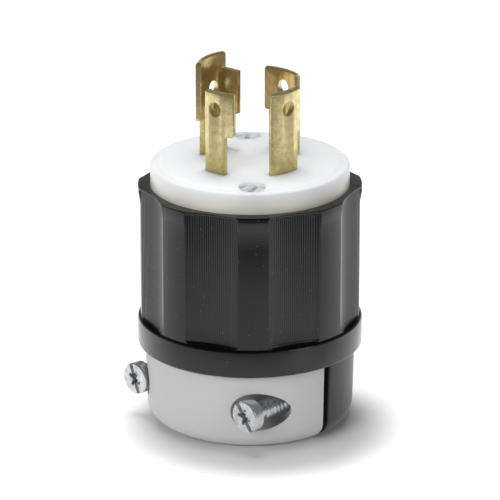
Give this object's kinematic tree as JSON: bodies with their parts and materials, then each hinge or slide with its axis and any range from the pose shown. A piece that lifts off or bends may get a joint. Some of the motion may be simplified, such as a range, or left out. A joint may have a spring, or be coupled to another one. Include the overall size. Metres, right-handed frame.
{
  "type": "locking power plug",
  "caption": "Twist-lock mains power plug: curved brass blades with locking ears, a white nylon face, a fluted black grip and a two-colour clamp for the cord",
  "frame": {"origin": "Centre of the cord entry, on the plane of the clamp's base.", "axes": "+Z runs along the plug's axis from the cord entry to the blades. The assembly screws stand at +Y and -Y. The clamp parts at 45 degrees between +X and -Y, with its light half towards -X -Y."},
  "size_m": [0.0524, 0.0524, 0.0803],
  "materials": {
    "black_plastic": "moulded nylon, satin to glossy",
    "white_nylon": "smooth moulded nylon, slightly translucent",
    "block_plastic": "moulded, matte",
    "light_plastic": "moulded, fine matte grain",
    "brass": "stamped, lightly worn",
    "plated_steel": "bright zinc plating",
    "green_steel": "green coating on steel"
  },
  "bodies": {
    "root": {"body_shell": "black_plastic", "face_plate": "white_nylon", "terminal_block": "block_plastic", "ground_blade": "brass", "neutral_blade": "brass", "line_blade_x": "brass", "line_blade_y": "brass", "ground_pressure_plate": "plated_steel", "neutral_pressure_plate": "plated_steel", "line_x_pressure_plate": "plated_steel", "line_y_pressure_plate": "plated_steel", "ground_terminal_screw": "green_steel", "neutral_terminal_screw": "plated_steel", "line_terminal_screws": "brass", "assembly_screws": "plated_steel", "assembly_inserts": "brass", "clamp_half_light": "light_plastic", "clamp_half_dark": "black_plastic", "clamp_screws": "plated_steel", "clamp_nuts": "plated_steel"}
  },
  "joints": []
}
